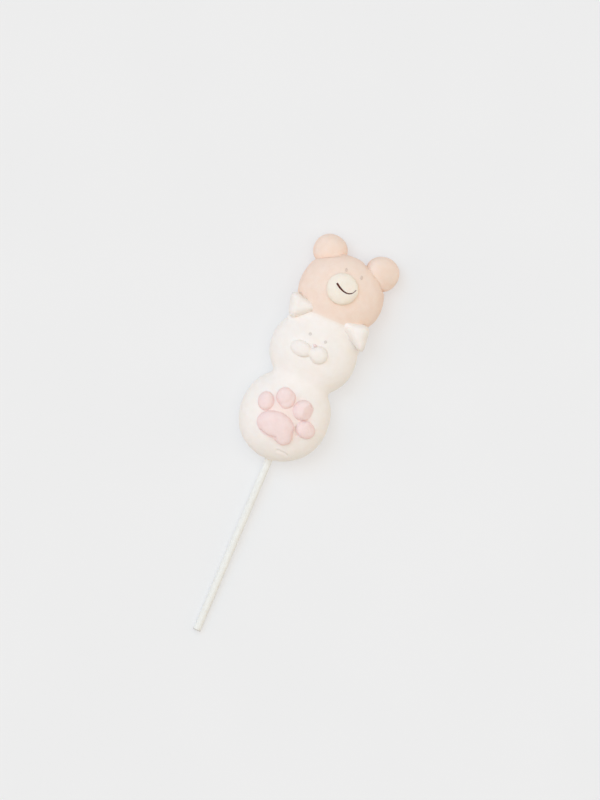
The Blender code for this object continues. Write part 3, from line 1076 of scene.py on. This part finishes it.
@dataclass(frozen=True)
class RaisedPiece:
    """A soft raised piece of one or more lobes, whose dome stands on the balls.

    The two kinds of roundness are the outline's and the dome's; 2 is an ellipse's, and a lower one makes
    softer shoulders. Flaps are lobes that lie on the others with a sharper edge. Its waist is the height
    over the balls at which it is widest, and it ends at its sink, a little under their skin.
    """
    name: str
    node: str
    sweet: Sweet
    lobes: tuple[Lobe, ...]
    flaps: tuple[Lobe, ...] = ()
    facets: tuple[Facet, ...] = ()
    creases: tuple[Crease, ...] = ()
    seed: float = 0.0
    segments: int = 144
    rings: int = 96
    plan_roundness: float = 2.9
    dome_roundness: float = 1.35
    lobe_blend: float = 1.6
    flap_blend: float = 0.12
    gap: float = 0.3
    waist: float = 0.1
    sink: float = 0.25
    tuck: float = 3.0
    foot: float = 0.8
    highest: float = 8.0
    farthest: float = 2.0  # in half widths
    skin: tuple[Hills, ...] = (Hills(3.4, 0.22), Hills(1.3, 0.05, 9.0))

    def outside(self, places: Points) -> Values:
        """Tells about how far places are outside the piece.

        Args:
            places: One row of x, y and the height over the balls for each place.

        Returns:
            The distances; negative inside.
        """
        nearest = None
        for lobe in (*self.lobes, *self.flaps):
            turn = math.radians(lobe.turn)
            right, ahead = places[:, 0] - lobe.x, places[:, 1] - lobe.y
            across = (right * math.cos(turn) + ahead * math.sin(turn)) / lobe.half_width
            along = (ahead * math.cos(turn) - right * math.sin(turn)) / lobe.half_length
            rise = places[:, 2] - self.waist
            over, under = lobe.height + self.gap - self.waist, (self.waist + self.sink) * self.tuck
            depth = np.where(rise > 0, over, under)
            size = (np.hypot(across, along) ** self.plan_roundness
                    + np.abs(rise / depth) ** self.dome_roundness) ** (1 / self.plan_roundness)
            away = (size - 1) * lobe.height
            blend = self.flap_blend if lobe in self.flaps else self.lobe_blend
            nearest = away if nearest is None else smooth_min(nearest, away, blend)
        for facet in self.facets:
            nearest = -smooth_min(-nearest, -facet.distance(places), facet.edge)
        return nearest

    @property
    def middle(self) -> Values:
        """The place in the lobes' midst, from which the skin is pushed out."""
        count = len(self.lobes)
        return np.array([sum(lobe.x for lobe in self.lobes) / count,
                         sum(lobe.y for lobe in self.lobes) / count, self.waist])

    def heights(self, plan: Points) -> Values:
        """Tells how high the piece stands over the balls.

        Args:
            plan: One row of x and y for each place.

        Returns:
            The heights.
        """
        return heights_over(self.outside, plan, self.waist, self.highest)

    def build(self, row: BallRow, shop: Workshop) -> bpy.types.Object:
        """Makes the raised piece.

        Args:
            row: The row of balls that it lies on.
            shop: Turns the mesh into a piece.

        Returns:
            The piece.
        """
        middle = self.middle
        half = max(max(abs(lobe.x - middle[0]) + lobe.half_width for lobe in self.lobes),
                   self.lobes[0].half_length)
        tall = max(lobe.height for lobe in self.lobes)

        def grow(ball: Points) -> Points:
            """Pushes points of a ball of radius 1 out to the piece's skin, and seats them on the balls.

            Args:
                ball: The points.

            Returns:
                Their places, in millimetres.
            """
            ray = ball * np.array([half, half, tall])
            reach = crossing(self.outside, middle, ray, self.farthest)
            places = middle + ray * stopped(reach, ray, self.waist + self.sink)[:, None]
            return seated(row, places, self.lift(places))

        mesh = grown(self.segments, self.rings, grow)
        return shop.piece(self.name, mesh, self.sweet.value.material(), self.sweet, [self.node])

    def lift(self, places: Points) -> Values:
        """Tells how far the piece's softness and creases lift its skin.

        Args:
            places: One row of x, y and the height over the balls for each place.

        Returns:
            The lifts.
        """
        lifts = sum(part.lift(places, self.seed) for part in self.skin)
        for crease in self.creases:
            lifts += crease.lift(places)
        return lifts * clear_of_foot(places, self.foot)


def seated(row: BallRow, places: Points, lift: Values | float = 0.0) -> Points:
    """Puts places at their heights straight out of the balls.

    Args:
        row: The row of balls.
        places: One row of x, y and the height over the balls for each place.
        lift: What is added to the heights.

    Returns:
        The points, in millimetres.
    """
    foot = row.top(places[:, :2])
    return foot + row.normal(foot) * (places[:, 2] + lift + row.softness(foot))[:, None]


# Faces

@dataclass(frozen=True)
class Smile:
    """The bear's smile: a line of brown icing, thick at its start and thin at its end.

    A low taper keeps it thick for longer, and a high blunt makes its two ends squarer.
    """
    start: tuple[float, float] = (-2.3, 164.2)
    bend_one: tuple[float, float] = (-0.4, 162.7)
    bend_two: tuple[float, float] = (4.4, 160.1)
    end: tuple[float, float] = (5.8, 164.7)
    start_radius: float = 0.56
    end_radius: float = 0.21
    taper: float = 1.6
    blunt: float = 8.0
    flatness: float = 0.75
    hills: Hills = Hills(1.6, 0.25, 4.0)
    next_share: float = 0.01
    segments: int = 32
    rings: int = 96

    def build(self, muzzle: RaisedPiece, row: BallRow, shop: Workshop) -> bpy.types.Object:
        """Makes the smile, half sunk in the muzzle.

        Args:
            muzzle: The bear's muzzle.
            row: The row of balls.
            shop: Turns the mesh into a piece.

        Returns:
            The piece.
        """
        def on_muzzle(share: Values) -> Points:
            """Finds the smile's middle line on the muzzle.

            Args:
                share: How far along the line each place is, from 0 to 1.

            Returns:
                The places, in millimetres.
            """
            share = np.clip(share, 0, 1)[:, None]
            rest = 1 - share
            start, one, two, end = (np.array(place) for place in
                                    (self.start, self.bend_one, self.bend_two, self.end))
            plan = (start * rest ** 3 + one * 3 * rest ** 2 * share + two * 3 * rest * share ** 2
                    + end * share ** 3)
            return seated(row, np.column_stack([plan, muzzle.heights(plan)]))

        def grow(ball: Points) -> Points:
            """Stretches points of a ball of radius 1 along the line.

            Args:
                ball: The points, from the smile's start at the bottom to its end at the top.

            Returns:
                Their places, in millimetres.
            """
            share = (ball[:, 2] + 1) / 2
            centre = on_muzzle(share)
            ahead = on_muzzle(share + self.next_share) - on_muzzle(share - self.next_share)
            ahead /= np.linalg.norm(ahead, axis=1)[:, None]
            side = np.cross(ahead, (0, 0, 1))
            side /= np.linalg.norm(side, axis=1)[:, None]
            up = np.cross(side, ahead)
            girth = (1 - np.minimum(np.abs(ball[:, 2]), 1) ** self.blunt) ** (1 / self.blunt)
            taper = (1 - share) ** self.taper
            radius = (self.end_radius + (self.start_radius - self.end_radius) * taper) * girth
            radius *= 1 + self.hills.lift(centre)
            around = np.arctan2(ball[:, 1], ball[:, 0])
            turned = side * np.cos(around)[:, None] + up * (np.sin(around) * self.flatness)[:, None]
            return centre + turned * radius[:, None]

        mesh = grown(self.segments, self.rings, grow)
        return shop.piece("bear_smile", mesh, Drop.BROWN.value.material())


@dataclass(frozen=True)
class Dot:
    """A small drop of food colour, round or long: an eye or the nose. Its turn is in degrees."""
    name: str
    drop: Drop
    x: float
    y: float
    half_width: float
    half_length: float
    height: float
    turn: float = 0.0
    rise: float = 0.0
    hills: Hills = Hills(1.1, 0.12)
    segments: int = 40
    rings: int = 24

    def build(self, row: BallRow, shop: Workshop) -> bpy.types.Object:
        """Makes the drop, half sunk in what it lies on.

        Args:
            row: The row of balls.
            shop: Turns the mesh into a piece.

        Returns:
            The piece.
        """
        cos, sin = math.cos(math.radians(self.turn)), math.sin(math.radians(self.turn))

        def grow(ball: Points) -> Points:
            """Flattens points of a ball of radius 1 to the drop, and seats them on the balls.

            Args:
                ball: The points.

            Returns:
                Their places, in millimetres.
            """
            uneven = 1 + self.hills.lift(ball, self.x)
            across, along = ball[:, 0] * self.half_width * uneven, ball[:, 1] * self.half_length * uneven
            right, ahead = across * cos - along * sin, across * sin + along * cos
            rise = self.rise + ball[:, 2] * self.height
            return seated(row, np.column_stack([self.x + right, self.y + ahead, rise]))

        return shop.piece(self.name, grown(self.segments, self.rings, grow), self.drop.value.material())


# Paper stick

@dataclass(frozen=True)
class PaperStick:
    """A stick of tightly rolled paper: it slopes from the table up into the paw.

    On its ends the layers of the sheet stand round the core with dips between them, and along its side the
    sheet's edge stands up by one small step. The marshmallow stands up round it as a lip.
    """
    length: float = 150.0
    radius: float = 1.75
    shown: float = 81.6
    rise: float = 5.0
    sheet: float = 0.12
    sheet_rings: int = 3
    sheet_dip: float = 0.045
    seam_step: float = 0.06
    edge: float = 0.12
    edge_steps: int = 3
    core: float = 0.15
    segments: int = 96
    lengths: int = 60
    seam_angle: float = 35.0
    same_place: float = 0.0005
    lip_height: float = 0.25
    lip_width: float = 0.8
    lip_depth: float = 6.0

    @property
    def start(self) -> Vector:
        """The middle of the free end."""
        return Vector((0.0, 0.0, self.radius))

    @property
    def direction(self) -> Vector:
        """The way from the free end up into the balls."""
        return Vector((0.0, 1.0, (self.rise - self.radius) / self.shown)).normalized()

    def lip(self, points: Points) -> Values:
        """Tells how far the marshmallow stands up round the stick where it goes in.

        Args:
            points: Places on the paw's skin.

        Returns:
            The lifts.
        """
        away = points - np.array(self.start)
        along = away @ np.array(self.direction)
        beside = np.linalg.norm(away - along[:, None] * np.array(self.direction), axis=1)
        lift = self.lip_height * np.exp(-(np.maximum(beside - self.radius, 0) / self.lip_width) ** 2)
        return np.where(along < self.shown + self.lip_depth, lift, 0)

    def outline(self) -> list[tuple[float, float]]:
        """Lists half of the stick's lengthwise section: out over one end, along, and back over the other.

        Returns:
            Pairs of the distance from the axis and the distance along it.
        """
        rings = round((self.radius - self.edge) / self.sheet * self.sheet_rings)
        face = [(self.radius - self.edge) * step / rings for step in range(rings + 1)]
        turns = [math.pi / 2 * step / self.edge_steps for step in range(1, self.edge_steps + 1)]
        corner = [(self.radius - self.edge * (1 - math.sin(turn)), self.edge * (1 - math.cos(turn)))
                  for turn in turns]
        body = [(self.radius, self.edge + (self.length - 2 * self.edge) * step / self.lengths)
                for step in range(1, self.lengths)]
        ends = [(out, 0.0) for out in face] + corner
        return ends + body + [(out, self.length - along) for out, along in reversed(ends)]

    def build(self, shop: Workshop) -> bpy.types.Object:
        """Makes the stick: its section is spun round, and the rolled sheet's edge is then pressed into it.

        Args:
            shop: Turns the mesh into a piece.

        Returns:
            The piece.
        """
        mesh = bmesh.new()
        verts = [mesh.verts.new((out, 0, along)) for out, along in self.outline()]
        edges = [mesh.edges.new(pair) for pair in zip(verts, verts[1:])]
        bmesh.ops.spin(mesh, geom=verts + edges, cent=(0, 0, 0), axis=(0, 0, 1), angle=2 * math.pi,
                       steps=self.segments, use_merge=True)
        bmesh.ops.remove_doubles(mesh, verts=mesh.verts, dist=self.same_place)
        bmesh.ops.recalc_face_normals(mesh, faces=mesh.faces)
        put_in_order(mesh)
        self.map_sheet(mesh)
        for vert in mesh.verts:
            out = math.hypot(vert.co.x, vert.co.y)
            turn = self.turn_from_seam(vert.co)
            if out > self.radius - self.edge:
                vert.co.xy *= 1 - self.seam_step * turn / self.radius
            elif out > self.core:
                layer = (out / self.sheet - turn) % 1
                dip = self.sheet_dip * (1 - math.cos(2 * math.pi * layer)) / 2
                vert.co.z += dip if vert.co.z < self.length / 2 else -dip
        turn = Vector((0, 0, 1)).rotation_difference(self.direction).to_matrix().to_4x4()
        bmesh.ops.transform(mesh, matrix=Matrix.Translation(self.start) @ turn, verts=mesh.verts)
        return shop.piece("paper_stick", mesh, RolledPaper().material(), nodes=["stick"],
                          slot="white_paper")

    def turn_from_seam(self, point: Vector) -> float:
        """Tells how far round the standing stick a point is from the seam, from 0 to 1."""
        return (math.atan2(point.y, point.x) - math.radians(self.seam_angle)) / (2 * math.pi) % 1

    def map_sheet(self, mesh: bmesh.types.BMesh) -> None:
        """Gives the stick its own map: once round across it, and its length along it.

        Args:
            mesh: The stick, standing on its free end.
        """
        layer = mesh.loops.layers.uv.new("sheet")
        for face in mesh.faces:
            middle = self.turn_from_seam(face.calc_center_median())
            for loop in face.loops:
                turn = self.turn_from_seam(loop.vert.co)
                if abs(turn - middle) > 0.5:
                    turn += math.copysign(1, middle - turn)
                loop[layer].uv = (turn, loop.vert.co.z / self.length)


# Studio

@dataclass(frozen=True)
class SoftLight:
    """One even, soft light: its side, height and softness in degrees, and its light."""
    name: str
    side: float
    height: float
    softness: float
    light: tuple[float, float, float]

    def build(self, turn: float) -> None:
        """Adds the light; side 0 is the picture's right and 90 its top.

        Args:
            turn: The camera's turn about the upright, in radians.
        """
        lamp = bpy.data.lights.new(self.name, "SUN")
        lamp.angle = math.radians(self.softness)
        lamp.energy = max(self.light)
        lamp.color = [part / max(self.light) for part in self.light]
        light = bpy.data.objects.new(self.name, lamp)
        side, height = math.radians(self.side) + turn, math.radians(self.height)
        flat = math.cos(height)
        towards = Vector((math.cos(side) * flat, math.sin(side) * flat, math.sin(height)))
        light.rotation_euler = towards.to_track_quat("Z", "Y").to_euler()
        bpy.context.scene.collection.objects.link(light)


@dataclass(frozen=True)
class Camera:
    """Looks straight down on the pop, which lies slantwise in the picture as in the photo."""
    turn: float = 22.95
    lens: float = 400.0
    sensor: float = 36.0
    picture: tuple[int, int] = (600, 800)
    mm_per_pixel: float = 0.44
    stick_end: tuple[float, float] = (196.5, 630.5)
    plane: float = 8.5
    clip: tuple[float, float] = (0.1, 100.0)

    @property
    def turn_angle(self) -> float:
        """The camera's turn about the upright, in radians."""
        return math.radians(self.turn)

    def build(self, shop: Workshop) -> None:
        """Places the camera so that the stick's free end is where the photo has it.

        Args:
            shop: Turns the pop's millimetres into the frame's metres.
        """
        right = (self.picture[0] / 2 - self.stick_end[0]) * self.mm_per_pixel
        up = (self.stick_end[1] - self.picture[1] / 2) * self.mm_per_pixel
        cos, sin = math.cos(self.turn_angle), math.sin(self.turn_angle)
        height = self.plane + self.picture[1] * self.mm_per_pixel * self.lens / self.sensor
        aim = np.array([[right * cos - up * sin, right * sin + up * cos, height]])
        data = bpy.data.cameras.new("camera")
        data.lens, data.sensor_width = self.lens, self.sensor
        data.clip_start, data.clip_end = self.clip
        camera = bpy.data.objects.new("camera", data)
        camera.location = shop.place(aim)[0]
        camera.rotation_euler = (0, 0, self.turn_angle)
        bpy.context.scene.collection.objects.link(camera)
        bpy.context.scene.camera = camera


@dataclass(frozen=True)
class Studio:
    """A plain pale table under plain soft light."""
    floor_size: float = 8.0
    floor_squares: int = 4
    floor_drop: float = 0.00005
    sky: tuple[float, float, float] = (0.492, 0.424, 0.344)
    horizon: Colour = (238, 238, 238)
    horizon_height: tuple[float, float] = (0.035, 0.07)
    lights: tuple[SoftLight, ...] = (
        SoftLight("overhead", 90, 85, 60, (1.053, 1.059, 1.035)),
        SoftLight("window", 135, 58, 40, (0.184, 0.451, 0.742)),
        SoftLight("left_wall", 180, 30, 40, (0.359, 0.296, 0.280)),
        SoftLight("right_wall", 0, 30, 40, (0.298, 0.285, 0.263)),
    )

    def build(self, turn: float) -> None:
        """Adds the table, the sky and the lights.

        Args:
            turn: The camera's turn about the upright, in radians.
        """
        mesh = bmesh.new()
        down = Matrix.Translation((0, 0, -self.floor_drop))
        bmesh.ops.create_grid(mesh, x_segments=self.floor_squares, y_segments=self.floor_squares,
                              size=self.floor_size / 2, matrix=down)
        data = bpy.data.meshes.new("table")
        mesh.to_mesh(data)
        mesh.free()
        data.materials.append(PlainFloor().material())
        table = bpy.data.objects.new("table", data)
        bpy.context.scene.collection.objects.link(table)
        self.build_sky()
        for light in self.lights:
            light.build(turn)
        bpy.context.scene.view_settings.view_transform = "Standard"

    def build_sky(self) -> None:
        """Adds the sky: the same soft light from all round, and as pale as the table where it meets it."""
        bench = Bench(bpy.data.worlds.new("soft_sky"), "Background", "Generated")
        height = bench.math("ABSOLUTE", bench.add("SeparateXYZ", {0: bench.place}).outputs["Z"])
        above = bench.ramp(height, *self.horizon_height)
        bench.feed(bench.shader.inputs["Color"], bench.blend(above, linear(self.horizon), (*self.sky, 1)))
        bpy.context.scene.world = bench.owner


# The pop

CAT_MEETS_BEAR = Meeting(CAT_TO_BEAR, 1.8, (246, 231, 220))


@dataclass(frozen=True)
class MarshmallowPop:
    """The whole pop, from the stick to the bear's ears."""
    row: BallRow = BallRow()
    stick: PaperStick = PaperStick()
    balls: tuple[RowPiece, ...] = (
        RowPiece("paw_marshmallow", "paw_ball", Sweet.WHITE, end=PAW_TO_CAT,
                 creases=(Crease((1.9, 86.7), (4.4, 87.1), (7.1, 86.3), 0.5, 0.3),
                          Crease((5.6, 100.0), (5.5, 98.2), (7.2, 96.4), 0.45, 0.55, lip=0.0)),
                 tint=Stain((-0.5, 101.5, 22.0), 9.0, 13.0, (245, 223, 214))),
        RowPiece("cat_marshmallow", "cat_head", Sweet.WHITE, start=PAW_TO_CAT, end=CAT_TO_BEAR,
                 creases=(Crease((-16.2, 142.8), (-12.4, 144.8), (-8.0, 148.2), 0.9, -0.6, lip=0.0),
                          Crease((11.5, 145.6), (14.9, 143.3), (18.0, 140.2), 0.9, -0.9, lip=0.0)),
                 meeting=CAT_MEETS_BEAR),
        RowPiece("bear_marshmallow", "bear_head", Sweet.PEACH, start=CAT_TO_BEAR,
                 creases=(Crease((-16.6, 171.6), (-13.0, 173.4), (-6.5, 176.4), 0.6, 0.7, lip=0.0),
                          Crease((4.9, 178.4), (5.9, 177.5), (7.4, 176.2), 0.5, 0.6, lip=0.0),
                          Crease((15.6, 171.4), (16.8, 170.4), (18.6, 169.0), 0.5, 0.7, lip=0.0)),
                 meeting=CAT_MEETS_BEAR),
    )
    ears: tuple[Ear, ...] = (
        Ear("bear_ear_left_round", "bear_ear_left", Sweet.PEACH,
            Ball(-10.9, 177.0, 7.5, 7.3, 14.2, 6.6, 1.0, lean=0.16, lean_side=20), 2.0),
        Ear("bear_ear_right_round", "bear_ear_right", Sweet.PEACH,
            Ball(14.0, 176.2, 7.6, 7.7, 14.6, 6.6, 3.0, lean=0.42, lean_side=0), 6.0),
        Ear("cat_ear_left_point", "cat_ear_left", Sweet.WHITE,
            PuffedTriangle(((-4.5, 151.7), (-20.1, 155.1), (-16.5, 141.6))), 1.0, segments=192, rings=128),
        Ear("cat_ear_right_point", "cat_ear_right", Sweet.WHITE,
            PuffedTriangle(((3.2, 150.4), (18.5, 153.2), (20.2, 139.0))), 4.0, segments=192, rings=128),
    )
    muzzle: RaisedPiece = RaisedPiece(
        "bear_muzzle_round", "bear_muzzle", Sweet.CREAM, (Lobe(0.6, 163.1, 6.9, 6.7, 3.8),), segments=192,
        rings=128, plan_roundness=2.2, dome_roundness=2.2, waist=0.5, tuck=1.6)
    raised: tuple[RaisedPiece, ...] = (
        RaisedPiece("cat_muzzle_lobes", "cat_muzzle", Sweet.WHITE,
                    (Lobe(-5.9, 132.2, 5.0, 3.5, 2.3, -5), Lobe(2.4, 132.4, 3.9, 4.0, 2.5)), seed=1.0,
                    segments=192, lobe_blend=0.9),
        RaisedPiece("paw_pad_soft", "paw_pad", Sweet.PINK,
                    (Lobe(-3.3, 97.0, 8.4, 5.9, 2.9, 3), Lobe(2.0, 93.5, 3.8, 3.7, 2.5)), seed=2.0,
                    creases=(Crease((-8.0, 92.8), (-4.6, 91.3), (-1.3, 92.1), 0.45, 1.1, lip=0.0),),
                    segments=224, rings=112, lobe_blend=0.8),
        RaisedPiece("paw_toe_first", "paw_toe_1", Sweet.PINK, (Lobe(-11.1, 105.0, 3.5, 4.2, 2.4, 10),),
                    seed=3.0),
        RaisedPiece("paw_toe_second", "paw_toe_2", Sweet.PINK, (Lobe(-4.2, 109.9, 3.8, 4.1, 2.7, 10),),
                    flaps=(Lobe(-2.8, 109.2, 3.5, 4.2, 1.9, -5),), seed=4.0),
        RaisedPiece("paw_toe_third", "paw_toe_3", Sweet.PINK, (Lobe(5.4, 107.4, 4.4, 4.6, 2.7, -20),),
                    facets=(Facet(6.0, 107.4, 2.45, -4, 34, edge=0.12),),
                    creases=(Crease((6.4, 111.7), (7.1, 111.2), (7.9, 110.4), 0.45, 0.7),), seed=5.0),
        RaisedPiece("paw_toe_fourth", "paw_toe_4", Sweet.PINK, (Lobe(9.6, 100.0, 4.2, 3.8, 2.5, -10),),
                    creases=(Crease((8.0, 101.2), (9.2, 101.5), (10.1, 100.7), 0.3, 0.2),), seed=6.0),
    )
    smile: Smile = Smile()
    dots: tuple[Dot, ...] = (
        Dot("bear_eye_left", Drop.TAN, -1.1, 171.6, 0.5, 0.95, 0.3, turn=20),
        Dot("bear_eye_right", Drop.TAN, 6.4, 171.1, 0.55, 0.95, 0.3, turn=26),
        Dot("cat_eye_left", Drop.GREY, -4.8, 139.6, 0.72, 0.76, 0.25),
        Dot("cat_eye_right", Drop.GREY, 2.8, 138.9, 0.7, 0.76, 0.25),
        Dot("cat_nose", Drop.ROSE, -0.8, 135.6, 0.8, 0.6, 0.6, rise=0.85),
    )

    def build(self, shop: Workshop) -> None:
        """Makes every piece.

        Args:
            shop: Turns meshes into pieces.
        """
        self.stick.build(shop)
        for ball in self.balls:
            ball.build(self.row, self.stick, shop)
        for part in (*self.ears, self.muzzle, *self.raised, *self.dots):
            part.build(self.row, shop)
        self.smile.build(self.muzzle, self.row, shop)


def main() -> None:
    """Builds the pop, its table, its lights and its camera."""
    logging.basicConfig(level=logging.INFO, format="%(message)s")
    pop = MarshmallowPop()
    shop = Workshop.from_frame(pop.stick)
    pop.build(shop)
    camera = Camera()
    Studio().build(camera.turn_angle)
    camera.build(shop)


if __name__ == "__main__":
    main()
